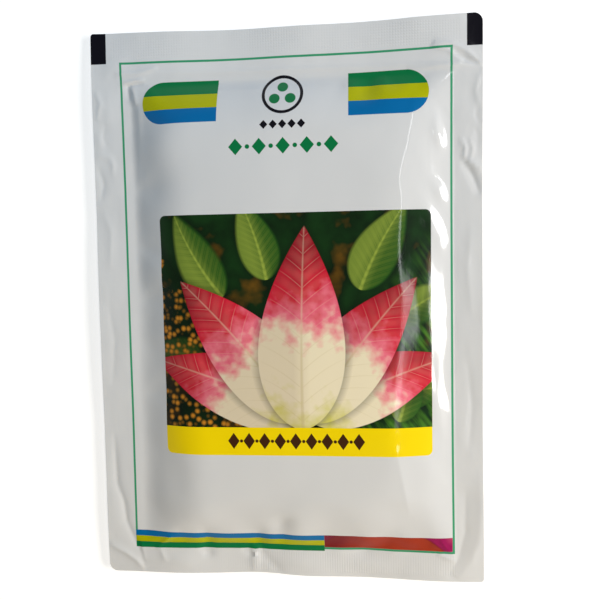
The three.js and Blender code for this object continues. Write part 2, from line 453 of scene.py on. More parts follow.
SIDE_WAVE = (0.35, 92, 0.3)
CORNER_DROOP = 1.1
TIGHT_FADE = 0.7


def band_height(x, y):
    """How high the middle of the two welded films lies."""
    near_end = (y / (HEIGHT / 2)) ** 4
    near_side = (x / (WIDTH / 2)) ** 4
    height = SEAL_HEIGHT + near_end * wave(x, *END_WAVE) + near_side * wave(y, *SIDE_WAVE)
    height = height - CORNER_DROOP * near_end * near_side
    height = height + sum(crease(x, y, *fold) for fold in BAND_CREASES)
    height = height + sum(swelling(x, y, *lump) for lump in BAND_SWELLINGS)
    drawn_tight = within_pocket(fullness(x, y, SHOULDER))
    return height + ripples(x * SQUEEZED, y, BAND_RIPPLES) * (1 - TIGHT_FADE * drawn_tight)


print("the bands have", len(BAND_CREASES), "creases and", len(BAND_SWELLINGS), "swellings")

# %% [markdown]
# ### The folds of the front
#
# Small puckers start at all four seals, and the left shoulder has wider, softer hollows. The long soft
# swellings on the right strip matter most for the looks: they tip the film just far enough towards the
# window to mirror it in white patches. The pouch's top left corner is pinched to a point.

# %% Folds of the front film
BOTTOM_BUCKLES = (0.4, 31, 0.35)
TOP_BUCKLES = (0.25, 36, 0.1)
RIGHT_PUCKERS = [
    (62.5, -0.2, 2.2, 5, 1.2), (51.5, 0.15, 2.4, 5, 1.4), (32.2, 0.15, 2.2, 5, 1.4),
    (18, 0.2, 2.6, 5.5, 1.5), (-12, -0.12, 2.2, 5, 1.3), (-41, 0.15, 2.6, 5, 1.2),
    (-54, -0.15, 2.6, 5, 1), (-68, 0.2, 3, 6, 0.8),
]
LEFT_PUCKERS = [
    (66, -0.35, 2.6, 6, 0.2), (56, 0.4, 3, 7, 0.2), (43, -0.8, 2.6, 6, 0.15), (33, 0.4, 3, 6, 0.1),
    (23, -0.75, 2.4, 6, -0.25), (12, 0.35, 3, 6), (2.5, -0.7, 2.6, 6, 0.2), (-10, 0.55, 4, 8),
    (-32, -0.8, 3, 7, 0.2), (-46, 0.3, 3.4, 7), (-70, 0.3, 3.4, 7, -0.3),
]
BOTTOM_PUCKERS = [
    (-48, 0.6, 1.6, 3, 0.5), (-41, -0.6, 2, 3, 0.1), (-31, -0.8, 2.2, 3.4), (-22, 0.5, 2.2, 3.4, -0.1),
    (-14, -0.9, 2, 4, 0.2), (-3, -1.1, 2.8, 6.5), (5, 0.5, 2.4, 4), (14, -0.4, 2.4, 3.4),
    (23, -0.7, 1.8, 3, 0.1), (29, 0.5, 1.8, 3), (35, -0.6, 1.8, 3, -0.1), (44, 0.5, 2, 3, -0.2),
    (51, -0.6, 1.8, 3, -0.4),
]
TOP_PUCKERS = [
    (-49, 0.5, 1.8, 4, 0.4), (-30, -0.2, 3, 5), (-9, 0.2, 3.4, 5), (19.5, -0.35, 1.8, 4, 0.2),
    (24.5, 0.3, 1.8, 4), (31, -0.75, 1.9, 3.6, -0.1), (36.5, 0.45, 1.7, 4, -0.2),
    (51, -0.5, 2, 5, -0.5),
]
FRONT_CREASES = [
    ([(52, 60), (51.7, 53), (51.9, 45)], 0.03, 0.6),
    ([(-55.6, 81.4), (-53.6, 77.4), (-52.6, 72), (-52.4, 64.9), (-53, 46)], 0.35, 0.9),
    ([(38.6, -50), (41, -62), (43.6, -76)], 0.3, 2.6),
]
FRONT_SWELLINGS = [
    ((-12, 50), (28, 45), 0.9), ((54.2, 62.8), (4.6, 1.7), 0.3, -1.4),
    ((54.6, 58.4), (4, 2.2), 0.42, -1.1), ((55.2, 39.6), (4.2, 2.3), 0.46, -1),
    ((53.6, 25.4), (8, 2.8), 0.44, -1.08), ((49, -1.4), (17, 6), 0.9, -1.48),
    ((53.4, -34), (10.5, 3.2), 0.46, -1.42), ((53, -27), (6, 1), -0.1, -1.5),
    ((-2.6, -79), (3.4, 2.6), -0.6, 0.4), ((-41, 52), (6.5, 15), 0.6, 0.15),
    ((-41, -62), (5, 12), -0.3, 0.15), ((30, 74), (4, 3), -0.3),
]
FRONT_RIPPLES = [(17, 0.08, 5), (6, 0.025, 8)]
UNDERSIDE_RIPPLES = [(9, 0.25, 12)]
print("the front has", len(FRONT_CREASES), "creases and", len(FRONT_SWELLINGS), "swellings of its own")

# %% [markdown]
# Now both outer faces can be worked out. The front is its smooth bulge with all the folds added. The
# back hangs between the bands and is pressed flat by the weight of the seeds, so it only has puckers
# where it leaves the table.

# %% Heights of the two outer faces


def buckles(inward, beside, row):
    """A row of dents on one shoulder, strongest halfway up it and gone at both its ends."""
    step = np.clip(inward / SHOULDER, 0, 1)
    return np.sin(np.pi * step) * wave(beside, *row)


def front_bulge(x, y):
    """How high the front film stands above the welded bands."""
    full = front_fullness(x, y)
    ends = (x / (WIDTH / 2)) ** 2 + (y / (HEIGHT / 2)) ** 2
    height = FRONT_BULGE * full * (1 + CROWN * (0.5 - ends))
    folds = buckles(y - BOTTOM, x, BOTTOM_BUCKLES) + buckles(TOP - y, x, TOP_BUCKLES)
    for inward, beside, puckers in (
        (RIGHT - x, y, RIGHT_PUCKERS),
        (x - LEFT, y, LEFT_PUCKERS),
        (y - BOTTOM, x, BOTTOM_PUCKERS),
        (TOP - y, x, TOP_PUCKERS),
    ):
        folds = folds + sum(pucker(inward, beside, *fold) for fold in puckers)
    creases = sum(crease(x, y, *fold) for fold in FRONT_CREASES)
    creases = creases + sum(swelling(x, y, *lump) for lump in FRONT_SWELLINGS)
    creases = creases + ripples(x, y, FRONT_RIPPLES)
    return height + folds * np.sqrt(full) + creases * within_pocket(full)


def front_height(x, y):
    """The outer face of the front film."""
    return band_height(x, y) + WELD / 2 + FILM + front_bulge(x, y)


def back_height(x, y):
    """The outer face of the back film."""
    band = band_height(x, y) - WELD / 2 - FILM
    sag = fullness(x, y, UNDERSIDE_SHOULDER)
    puckers = ripples(x, y, UNDERSIDE_RIPPLES) * within_pocket(sag * (1 - sag))
    return np.maximum(0, (band + puckers) * (1 - sag) - PRESSED * sag)


print("the middle of the front stands", front_height(np.zeros(1), np.zeros(1)).round(2)[0], "mm high")

# %% [markdown]
# ## The two film panels
#
# A panel's rows and columns lie closer together over the seals and shoulders, where the folds are, and
# further apart in the middle. Its corners are rounded or nearly square, as the guillotine left them,
# and its edges are drawn in a little by the filling.

# %% Outline of the panels
ROUND_CORNER = 3
SHARP_CORNER = 1
CORNERS = [(-1, 1, SHARP_CORNER), (1, 1, ROUND_CORNER), (1, -1, SHARP_CORNER), (-1, -1, ROUND_CORNER)]
DRAWN_IN_LEFT = 0.2
DRAWN_IN_RIGHT = 0.5
DRAWN_IN_TOP = 1.0
DRAWN_IN_BOTTOM = 0.3
NARROWER_LEFT = 0.4
SPREAD_CORNER = 0.7
LONGER_BELOW = 0.4
NOTCH_AT = -11
NOTCH_REACH = 11
NOTCH_DEPTH = 0.6
COLUMNS = (-WIDTH / 2, 0.55, -36, 1.5, 36, 0.42, 64, 0.55, WIDTH / 2)
ROWS = (-HEIGHT / 2, 0.55, -70, 1.15, 60, 0.5, HEIGHT / 2)


def spread(*stops):
    """Numbers from the first stop to the last, at the spacing given between each two."""
    lines = []
    for start, spacing, end in zip(stops[::2], stops[1::2], stops[2::2]):
        steps = round((end - start) / spacing)
        lines.extend(np.linspace(start, end, steps, endpoint=False))
    return np.array([*lines, stops[-1]])


def placed(x, y):
    """Points of an uncut rectangle, moved to where they lie on the packet."""
    for side, end, radius in CORNERS:
        a = (side * x - WIDTH / 2) / radius + 1
        b = (end * y - HEIGHT / 2) / radius + 1
        inside = (a > 0) & (b > 0)
        round_x = side * (WIDTH / 2 + radius * (a * np.sqrt(np.clip(1 - b * b / 2, 0, 1)) - 1))
        round_y = end * (HEIGHT / 2 + radius * (b * np.sqrt(np.clip(1 - a * a / 2, 0, 1)) - 1))
        x, y = np.where(inside, round_x, x), np.where(inside, round_y, y)
    share_x, share_y = x / (WIDTH / 2), y / (HEIGHT / 2)
    sideways = np.where(x > 0, DRAWN_IN_RIGHT, DRAWN_IN_LEFT)
    endways = np.where(y > 0, DRAWN_IN_TOP, DRAWN_IN_BOTTOM)
    drawn_x = x * (1 - sideways * (1 - share_y**2) / (WIDTH / 2))
    drawn_y = y * (1 - endways * (1 - share_x**2) / (HEIGHT / 2))
    drawn_x = drawn_x - NARROWER_LEFT * np.clip(-share_x, 0, 1) ** 4
    drawn_y = drawn_y + SPREAD_CORNER * share_y**9 * share_x**2
    notch = NOTCH_DEPTH * np.exp(-(((x - NOTCH_AT) / NOTCH_REACH) ** 2))
    return drawn_x, drawn_y + (notch - LONGER_BELOW) * np.clip(-share_y, 0, 1) ** 9


print("the top right corner lies at", [round(float(c), 1) for c in placed(WIDTH / 2, HEIGHT / 2)], "mm")

# %% [markdown]
# Each panel starts as Blender's own grid. Every point is moved to its place in the outline and lifted
# to its height, and a Solidify modifier gives the film its thickness.

# %% Make the film panels
SMOOTH_ANGLE = 50


def new_grid(name, across, up):
    """Blender's own grid, two metres wide, with so many faces across and up."""
    bpy.ops.object.select_all(action="DESELECT")
    bpy.ops.mesh.primitive_grid_add(x_subdivisions=across, y_subdivisions=up, size=2)
    sheet = bpy.context.object
    sheet.name = sheet.data.name = name
    return sheet


def lay_out(sheet, x, y, z):
    """Moves a sheet's points to where they lie on the packet."""
    points = np.stack([*placed(x, y), z], axis=1) * MM
    sheet.data.vertices.foreach_set("co", points.astype(np.float32).ravel())
    sheet.data.update()


def film_sheet(name, height):
    """One panel as a single sheet, whose points stand at a height."""
    columns, rows = spread(*COLUMNS), spread(*ROWS)
    sheet = new_grid(name, len(columns) - 1, len(rows) - 1)
    x, y = (part.ravel() for part in np.meshgrid(columns, rows))
    lay_out(sheet, x, y, height(x, y))
    return sheet


def turn_over(sheet):
    """Makes the faces of the sheet, which is the active one, look down instead of up."""
    bpy.ops.object.mode_set(mode="EDIT")
    bpy.ops.mesh.select_all(action="SELECT")
    bpy.ops.mesh.flip_normals()
    bpy.ops.object.mode_set(mode="OBJECT")


def thicken(sheet, thickness):
    """Gives a sheet its thickness on the inner side, so that its outer face stays where it is."""
    modifier = sheet.modifiers.new("thickness", "SOLIDIFY")
    modifier.thickness = thickness * MM
    modifier.offset = -1
    bpy.ops.object.modifier_apply(modifier="thickness")
    bpy.ops.object.shade_smooth_by_angle(angle=math.radians(SMOOTH_ANGLE))


front_film = film_sheet("front_film_panel", front_height)
thicken(front_film, FILM)
back_film = film_sheet("back_film_panel", back_height)
turn_over(back_film)
thicken(back_film, FILM)
for panel in (front_film, back_film):
    print(panel.name, "has", len(panel.data.polygons), "faces")

# %% [markdown]
# ## The seeds
#
# No one sees the seeds until the packet is cut open, but they are what gives it its shape and weight.
# Twenty thousand loose balls would be slow, so they are one bed. Its two faces are again heights over
# a grid: at each point, the highest of the round seeds that lie near it.

# %% Height of the seeds
SEED = 1.9
SEED_PITCH = SEED * 0.86
SEED_SHIFT = 0.22
SEED_SINK = 0.3
BETWEEN_SEEDS = -1.2


def seed_relief(x, y, seed):
    """How far the tops of seeds, scattered at random, lie below the face that they touch."""
    chance = np.random.default_rng(seed)
    count_x, count_y = int(WIDTH / SEED_PITCH) + 4, int(HEIGHT / SEED_PITCH) + 4
    shift = chance.uniform(-SEED_SHIFT, SEED_SHIFT, (2, count_y, count_x)) * SEED_PITCH
    depth = chance.uniform(0, SEED_SINK, (count_y, count_x))
    row = np.floor(y / SEED_PITCH).astype(int)
    best = np.full(x.shape, BETWEEN_SEEDS)
    for near_row in (row - 1, row, row + 1):
        column = np.floor(x / SEED_PITCH - 0.5 * (near_row % 2)).astype(int)
        for near_column in (column - 1, column, column + 1):
            j, i = (near_row + count_y // 2) % count_y, (near_column + count_x // 2) % count_x
            seed_x = (near_column + 0.5 + 0.5 * (near_row % 2)) * SEED_PITCH + shift[0, j, i]
            seed_y = (near_row + 0.5) * SEED_PITCH + shift[1, j, i]
            off = ((x - seed_x) ** 2 + (y - seed_y) ** 2) / (SEED / 2) ** 2
            ball = SEED / 2 * (np.sqrt(np.clip(1 - off, 0, 1)) - 1) - depth[j, i]
            best = np.where(off < 1, np.maximum(best, ball), best)
    return best


print("the seeds lie", round(SEED_PITCH, 2), "mm apart")

# %% [markdown]
# The bed's outline is a rectangle with generous round corners, a little inside the seals. Its two
# faces are joined, and a bridge between their open rims closes the bed all round.

# %% Make the bed of seeds
SEED_STEP = 0.75
BED_INSET = 5
BED_ROUND = 0.62
SEED_GAP = 0.35
LEAST_BED = 0.1


def bed_plan(a, b):
    """A point of the square from -1 to 1, moved into the bed's outline with its round corners."""
    half_x, half_y = (RIGHT - LEFT) / 2 - BED_INSET, (TOP - BOTTOM) / 2 - BED_INSET
    x = (LEFT + RIGHT) / 2 + half_x * a * np.sqrt(1 - BED_ROUND * b * b / 2)
    y = (BOTTOM + TOP) / 2 + half_y * b * np.sqrt(1 - BED_ROUND * a * a / 2)
    return x, y


def seed_bed_sheet(name, over):
    """The upper or the lower face of the bed."""
    sheet = new_grid(name, int((RIGHT - LEFT) / SEED_STEP), int((TOP - BOTTOM) / SEED_STEP))
    flat = np.empty(len(sheet.data.vertices) * 3)
    sheet.data.vertices.foreach_get("co", flat)
    x, y = bed_plan(*flat.reshape(-1, 3)[:, :2].T)
    if over:
        z = front_height(x, y) - FILM - SEED_GAP + seed_relief(x, y, seed=1)
    else:
        z = back_height(x, y) + FILM + SEED_GAP - seed_relief(x, y, seed=2)
    middle = (front_height(x, y) + back_height(x, y)) / 2
    z = np.maximum(z, middle + LEAST_BED) if over else np.minimum(z, middle - LEAST_BED)
    lay_out(sheet, x, y, z)
    return sheet


seed_top = seed_bed_sheet("seeds", over=True)
seed_under = seed_bed_sheet("seeds_under", over=False)
turn_over(seed_under)
bpy.ops.object.select_all(action="DESELECT")
seed_under.select_set(True)
seed_top.select_set(True)
bpy.context.view_layer.objects.active = seed_top
bpy.ops.object.join()
seeds = bpy.context.object
bpy.ops.object.mode_set(mode="EDIT")
bpy.ops.mesh.select_all(action="DESELECT")
bpy.ops.mesh.select_non_manifold(
    extend=False, use_wire=False, use_multi_face=False, use_non_contiguous=False
)
bpy.ops.mesh.bridge_edge_loops()
bpy.ops.object.mode_set(mode="OBJECT")
bpy.ops.object.shade_smooth()
print("the bed of seeds has", len(seeds.data.polygons), "faces")

# %% [markdown]
# ## Printing with arithmetic
#
# The ink on the film has sharp edges at any size, so it isn't painted on an image but worked out in
# the shader. Node trees for this grow long. Writing them as arithmetic keeps them short: a Field
# stands for a number that varies over the film, and adding two Fields makes the Math node.

# %% Fields: arithmetic that makes shader nodes


class Field:
    """A number or a colour that varies over a surface, held in a shader socket."""

    def __init__(self, tree, socket):
        self.tree = tree
        self.socket = socket

    def math(self, operation, *others, clamp=False):
        """A Math node with this field as its first number."""
        node = self.tree.nodes.new("ShaderNodeMath")
        node.operation = operation
        node.use_clamp = clamp
        for slot, value in zip(node.inputs, (self, *others)):
            feed(self.tree, slot, value)
        return Field(self.tree, node.outputs[0])

    # Each sign or word is the Math node with one operation. A held number is kept between 0 and 1.
    __add__ = partialmethod(math, "ADD")
    __sub__ = partialmethod(math, "SUBTRACT")
    __mul__ = partialmethod(math, "MULTIPLY")
    __truediv__ = partialmethod(math, "DIVIDE")
    __neg__ = partialmethod(math, "MULTIPLY", -1)
    __abs__ = partialmethod(math, "ABSOLUTE")
    times_plus = partialmethod(math, "MULTIPLY_ADD")
    least = partialmethod(math, "MINIMUM")
    most = partialmethod(math, "MAXIMUM")
    held = partialmethod(math, "ADD", 0, clamp=True)


def feed(tree, slot, value):
    """Links a field to a socket, or sets the socket to a plain value."""
    if isinstance(value, Field):
        tree.links.new(value.socket, slot)
    else:
        slot.default_value = value


def texture(tree, kind, vector, output, **settings):
    """A texture node that reads a vector in millimetres, with its named inputs or settings set."""
    node = tree.nodes.new(kind)
    tree.links.new(vector, node.inputs["Vector"])
    for name, value in settings.items():
        if name in node.inputs:
            feed(tree, node.inputs[name], value)
        else:
            setattr(node, name, value)
    return Field(tree, node.outputs[output])


def noise(tree, vector, scale, detail):
    """Cloudy noise from 0 to 1, with so many patches a millimetre and layers of finer ones."""
    return texture(tree, "ShaderNodeTexNoise", vector, "Fac", Scale=scale, Detail=detail)


def mixed(under, over, share):
    """One colour laid over another."""
    tree = share.tree
    node = tree.nodes.new("ShaderNodeMix")
    node.data_type = "RGBA"
    feed(tree, node.inputs[0], share)
    feed(tree, node.inputs[6], under)
    feed(tree, node.inputs[7], over)
    return Field(tree, node.outputs[2])


print("a Field can", [name for name in vars(Field) if name[0] != "_"])

# %% [markdown]
# A printed shape is the distance of each point from its outline, negative inside. Ink lies where that
# distance is below zero, and two shapes are joined or cut by the lesser or the greater of the two.

# %% Inks and shapes


def ink(*screen):
    """A colour by its red, green and blue on a screen, each from 0 to 255."""
    linear = [((part / 255 + 0.055) / 1.055) ** 2.4 if part > 10 else part / 3295 for part in screen]
    return (*linear, 1)


EDGE = 0.12


def inked(distance, edge=EDGE):
    """1 inside a shape and 0 outside it, with a slightly soft edge."""
    return distance.times_plus(-1 / edge, 0.5).held()


def disc(x, y, centre, radius):
    """Distance from a circle."""
    dx, dy = x - centre[0], y - centre[1]
    return (dx * dx + dy * dy).math("SQRT") - radius


def bar(x, y, low, high, corner=0):
    """Distance from a rectangle, with round corners if they are asked for."""
    dx = abs(x - (low[0] + high[0]) / 2) - ((high[0] - low[0]) / 2 - corner)
    dy = abs(y - (low[1] + high[1]) / 2) - ((high[1] - low[1]) / 2 - corner)
    if not corner:
        return dx.most(dy)
    dx, dy = dx.most(0), dy.most(0)
    return (dx * dx + dy * dy).math("SQRT") - corner


def diamond_row(x, y, middle, pitch, half_width, half_height, reach, dot=0):
    """Distance from a row of diamonds a pitch apart, with dots between them if they are asked for."""
    x, y = x - middle[0], y - middle[1]
    repeated = x.math("PINGPONG", pitch / 2)
    row = (repeated / half_width + abs(y) / half_height - 1) * half_height
    if dot:
        row = row.least(disc(repeated, y, (pitch / 2, 0), dot))
    return row.most(abs(x) - reach)


print("mid grey on a screen is", round(ink(128, 128, 128)[0], 3), "as light")

# %% [markdown]
# ## The picture on the front
#
# Seed packets carry a large glossy picture. This one is a plain design: a fan of broad leaves, pale
# at the stalk and crimson at the tip, over dark foliage, with a drift of orange seeds. The picture
# needs many leaves. Nodes that are needed more than once are made a node group, which is built once
# and then placed wherever it is wanted, with other values at its inputs.

# %% Node groups


def new_group(name, inputs, outputs):
    """A node group with these inputs and outputs, and the fields that come in."""
    tree = bpy.data.node_groups.new(name, "ShaderNodeTree")
    for socket in inputs:
        kind = "NodeSocketVector" if socket == "Place" else "NodeSocketFloat"
        tree.interface.new_socket(socket, in_out="INPUT", socket_type=kind)
    for socket in outputs:
        tree.interface.new_socket(socket, in_out="OUTPUT", socket_type="NodeSocketFloat")
    given = tree.nodes.new("NodeGroupInput")
    return tree, [Field(tree, socket) for socket in given.outputs[: len(inputs)]]


def put_out(tree, *values):
    """Feeds the outputs of a node group."""
    result = tree.nodes.new("NodeGroupOutput")
    for slot, value in zip(result.inputs, values):
        feed(tree, slot, value)
    print(tree.name, "has", len(tree.nodes), "nodes")


def place_group(tree, group, *values):
    """Places a node group in a tree, feeds its inputs, and gives its outputs by name."""
    node = tree.nodes.new("ShaderNodeGroup")
    node.node_tree = group
    for slot, value in zip(node.inputs, values):
        feed(tree, slot, value)
    return {socket.name: Field(tree, socket) for socket in node.outputs}


# %% [markdown]
# The group of a leaf puts out masks, and each leaf in the picture is coloured from those. Its edge is
# a power of the way along it, so it is blunt at the stalk's end and pointed at its tip, and its side
# veins are slanting lines, repeated.

# %% One printed leaf
LEAF_INPUTS = ("X", "Y", "Stalk X", "Stalk Y", "Turn", "Length", "Half Width", "Bend", "Blur")
LEAF_OUTPUTS = ("Mask", "Shade", "Along", "Vein", "Puff", "Side")
LEAF_FULL = 2.9
LEAF_BLUNT = 0.6
LEAF_SHADE = 5
VEIN_SLANT = 0.95
VEIN_CURVE = 0.018
VEIN_PITCH = 0.082


def leaf_group():
    """A node group that gives the masks of one leaf from its stalk, turn and size."""
    tree, given = new_group("printed_leaf", LEAF_INPUTS, LEAF_OUTPUTS)
    x, y, stalk_x, stalk_y, turn, length, half_width, bend, blur = given
    sine, cosine = turn.math("SINE"), turn.math("COSINE")
    dx, dy = x - stalk_x, y - stalk_y
    up = dx * sine + dy * cosine
    along = (up / length).held()
    across = dx * cosine - dy * sine - along * along * bend
    away = abs(across)
    reach = along.math("POWER", LEAF_BLUNT) * (-along + 1) * LEAF_FULL * half_width
    mask = ((reach - away) / blur + 0.5).held() * (reach * 1.5).held()
    shade = ((reach - away) / LEAF_SHADE + 0.6).held()
    inner = (-(away / reach.most(0.1)) + 1).held()
    rows = (up - away * VEIN_SLANT + away * away * VEIN_CURVE) / (length * VEIN_PITCH)
    between = abs(rows.math("FRACT") - 0.5) * 2
    side_vein = between.times_plus(-9, 1.1).held() * inner.math("SQRT")
    midrib = inked(away - (-along + 1) * 0.5 - 0.1, 0.5)
    puff = between.math("SMOOTH_MIN", 0.7, 0.3) * inner.math("SQRT")
    put_out(tree, mask, shade, along, midrib.most(side_vein * 0.7), puff, inked(across, 6))
    return tree


LEAF_GROUP = leaf_group()


def leaf(x, y, stalk, turn, length, half_width, bend=0, blur=0.25):
    """The masks of one leaf in the picture, by name."""
    shape = (math.radians(turn), length, half_width, bend, blur)
    return place_group(x.tree, LEAF_GROUP, x, y, *stalk, *shape)


def ramp(share, *stops):
    """A colour that runs through the given stops, each a place from 0 to 1 and a colour."""
    node = share.tree.nodes.new("ShaderNodeValToRGB")
    set_stops(node.color_ramp, stops)
    feed(share.tree, node.inputs[0], share)
    return Field(share.tree, node.outputs[0])


# %% [markdown]
# The broad leaves are listed from the back of the fan to the front, so that each one lies over the
# last. A leaf is its stalk's place, its turn in degrees, its length, half its width and its bend, and
# those at the back are also blurred, by 0.5 to 1.6 mm.

# %% Colours and leaves of the picture
PICTURE_LOW = (-45, -43.3)
PICTURE_HIGH = (51.9, 33.6)
PICTURE_CORNER = 2
CAPTION_BOTTOM = -53.6
CRIMSON = ink(204, 24, 52)
DARK_CRIMSON = ink(140, 8, 30)
WINE = ink(90, 20, 30)
PINK = ink(230, 108, 130)
CREAM = ink(232, 220, 190)
STALK_YELLOW = ink(206, 200, 96)
TAN = ink(186, 166, 100)
LEAF_GREEN = ink(78, 134, 40)
DEEP_GREEN = ink(20, 50, 20)
NEAR_BLACK = ink(10, 15, 10)
OCHRE = ink(110, 78, 22)
ORANGE = ink(216, 140, 44)
PALE_GREEN = ink(176, 192, 78)
SHADED_GREEN = ink(38, 84, 26)

BACK_LEAVES = [
    ((-22, 4), -40, 34, 7.5, 6, 1.6), ((-6, 10), -10, 30, 7, -4, 1.2), ((27, 6), 20, 34, 8, 5, 1.2),
    ((38, -6), 50, 26, 6.5, 5, 1.6), ((-30, -18), -74, 22, 6, -4, 1.4), ((28, -36), 66, 32, 7, 6, 0.5),
    ((40, -41), 20, 26, 6, -5, 0.5),
]
BROAD_LEAVES = [
    ((6, -40), -60, 58, 12.5, -9), ((8, -40), 58, 56, 12, 9), ((5, -41), -33, 66, 13.5, -8),
    ((8, -41), 31, 64, 13, 7), ((6, -44), -1, 73, 15.5, 3),
]
BROAD_COLOURS = (
    (0.03, STALK_YELLOW), (0.2, CREAM), (0.44, CREAM), (0.56, PINK), (0.68, CRIMSON), (1, DARK_CRIMSON)
)
print("the picture has", len(BACK_LEAVES) + len(BROAD_LEAVES), "leaves")

# %% [markdown]
# The picture is laid down in layers, from the ground up. Before a leaf is laid down, its blurred
# outline darkens what is under it, which lifts the leaf off the ground like a shadow.

# %% The picture


def ground(x, y, vector):
    """The blurred foliage behind the leaves, ochre in places, with blades of grass on the right."""
    tree = x.tree
    cloud = noise(tree, vector, 0.075, 3)
    cells = texture(tree, "ShaderNodeTexVoronoi", vector, "Distance", Scale=0.09, feature="SMOOTH_F1")
    colour = mixed(NEAR_BLACK, DEEP_GREEN, (cloud.times_plus(3.4, -1.2) + cells * 0.6).held())
    colour = mixed(colour, OCHRE, cloud.times_plus(-7, 3).held() * 0.8)
    blades = tree.nodes.new("ShaderNodeCombineXYZ")
    feed(tree, blades.inputs["X"], (x + y * 0.7) * 0.45)
    feed(tree, blades.inputs["Y"], (y - x * 0.4) * 0.06)
    grass = noise(tree, blades.outputs[0], 1.0, 4)
    lower_right = ((x - y * 0.8) / 22 - 1.3).held() * (grass.times_plus(4, -1.7)).held()
    return mixed(colour, LEAF_GREEN, lower_right * 0.8), cloud


def picture(x, y, vector):
    """The colours of the picture, edge to edge."""
    tree = x.tree
    colour, cloud = ground(x, y, vector)
    for shape in BACK_LEAVES:
        part = leaf(x, y, *shape)
        colour = mixed(colour, NEAR_BLACK, part["Shade"] * 0.6)
        light = part["Vein"].times_plus(0.35, part["Side"] * 0.35) + part["Puff"] * 0.25
        body = mixed(SHADED_GREEN, PALE_GREEN, light.held())
        colour = mixed(colour, body, part["Mask"] * 0.9)

    dots = texture(tree, "ShaderNodeTexVoronoi", vector, "Distance", Scale=0.42, Randomness=0.75)
    drift = ((-x - y) / 14 - 3.4 + cloud * 3).held()
    colour = mixed(colour, NEAR_BLACK, drift * 0.6)
    dot_colour = mixed(ORANGE, OCHRE, (dots * 2).held())
    colour = mixed(colour, dot_colour, inked(dots - 0.42, 0.3) * drift.math("GREATER_THAN", 0.4))

    mottle = noise(tree, vector, 0.3, 4).times_plus(0.16, -0.08)
    for shape in BROAD_LEAVES:
        part = leaf(x, y, *shape)
        colour = mixed(colour, NEAR_BLACK, part["Shade"] * 0.75)
        place = part["Along"] + cloud.times_plus(0.4, -0.2) + mottle
        body = ramp(place, *BROAD_COLOURS)
        vein = mixed(TAN, CREAM, part["Along"].times_plus(5, -2).held())
        body = mixed(body, vein, part["Vein"] * 0.35)
        body = mixed(body, CREAM, part["Puff"] * 0.12)
        body = mixed(body, WINE, part["Side"] * 0.22)
        colour = mixed(colour, body, part["Mask"])
    return colour


print("the picture is", [round(b - a, 1) for a, b in zip(PICTURE_LOW, PICTURE_HIGH)], "mm")

# %% [markdown]
# ## The rest of the print
#
# The other marks are plain shapes: a thin green frame, two flags in three stripes, black register
# marks for the cutter in the top corners, a striped band along the bottom, and a yellow strip below
# the picture. A row of diamonds sits in the strip, and a ring with three dots over two such rows at
# the top.

# %% Colours and places of the marks
FILM_WHITE = ink(208, 209, 211)
GREEN = ink(8, 112, 62)
LINE_GREEN = ink(58, 146, 106)
YELLOW = ink(172, 174, 2)
BLUE = ink(0, 102, 162)
BRIGHT_YELLOW = ink(239, 210, 0)
BLACK = ink(18, 17, 24)
BROWN = ink(62, 34, 14)
RUST = ink(160, 54, 30)
DARK_RUST = ink(108, 24, 32)
MAGENTA = ink(150, 24, 84)
RULE_GREY = ink(150, 156, 158)
RULE_PITCH = 12.4
FLAG_TOP = 82.4
FLAG_BOTTOM = 66.5
FLAG_ROUND = 7.95
FLAG_STRIPE = 5.3
FLAG_TILT = 0.006
LEFT_FLAG = (-50.8, -22.8)
RIGHT_FLAG = (23.6, 51.5)
MARK_INNER, MARK_LOWER = 64.6, 89.5
EMBLEM = (0.6, 75.6)
EMBLEM_RADIUS = 6.8
EMBLEM_LINE = 1.1
EMBLEM_DOT = 1.9
UPPER_DOT = (0, 2.8)
SIDE_DOT = (2.8, -1.7)
BLACK_ROW = ((0.7, 64.5), 3.3, 1.45, 1.6, 8.3)
GREEN_ROW = ((0.8, 57), 8.4, 2.5, 2.9, 19.7, 0.8)
CAPTION_ROW = ((3.3, -48.3), 5.65, 2.1, 3.0, 24.75, 0.6)
FRAME_LOW = (-59.15, -90.3)
FRAME_HIGH = (59.3, 89.45)
FRAME_LINE = 0.8
BAND_TOP = -84.6
BAND_STRIPE = 2.25
BAND_LEFT, BAND_PARTING, BAND_RIGHT = -59.5, 12.5, 58.9
SWIRL = ((33, -113), 32.5)
SWIRL_LINE = 0.5
DARK_SPOT = ((15, -84), 9)
BACK_PANEL = ((-44, -62), (44, 62))
BACK_PANEL_LINE = 0.5
BACK_RULES = ((-38, -56), (38, 56))
RULE_LINE = 0.24
print("the frame is", [round(b - a, 1) for a, b in zip(FRAME_LOW, FRAME_HIGH)], "mm")

# %% [markdown]
# Each of these lays one kind of mark over the colour that it is given, so they can be printed one
# after the other, like the passes of a press.

# %% The marks


def three_stripes(y, top, width, colours):
    """Three stripes below a top edge, each as wide as given."""
    colour = colours[0]
    for number in (1, 2):
        colour = mixed(colour, colours[number], inked(y - (top - number * width)))
    return colour


def flags(colour, x, y):
    """The striped flag on each side of the emblem, round at its outer end."""
    y = x.times_plus(-FLAG_TILT, y)
    stripes = three_stripes(y, FLAG_TOP, FLAG_STRIPE, (GREEN, YELLOW, BLUE))
    left = bar(x, y, (LEFT_FLAG[0], FLAG_BOTTOM), (0, FLAG_TOP), FLAG_ROUND).most(x - LEFT_FLAG[1])
    right = bar(x, y, (0, FLAG_BOTTOM), (RIGHT_FLAG[1], FLAG_TOP), FLAG_ROUND).most(-x + RIGHT_FLAG[0])
    return mixed(colour, stripes, inked(left.least(right)))


def register_marks(colour, x, y):
    """The cutter's black mark in each top corner."""
    marks = (-abs(x) + MARK_INNER).most(-y + MARK_LOWER)
    return mixed(colour, BLACK, inked(marks))


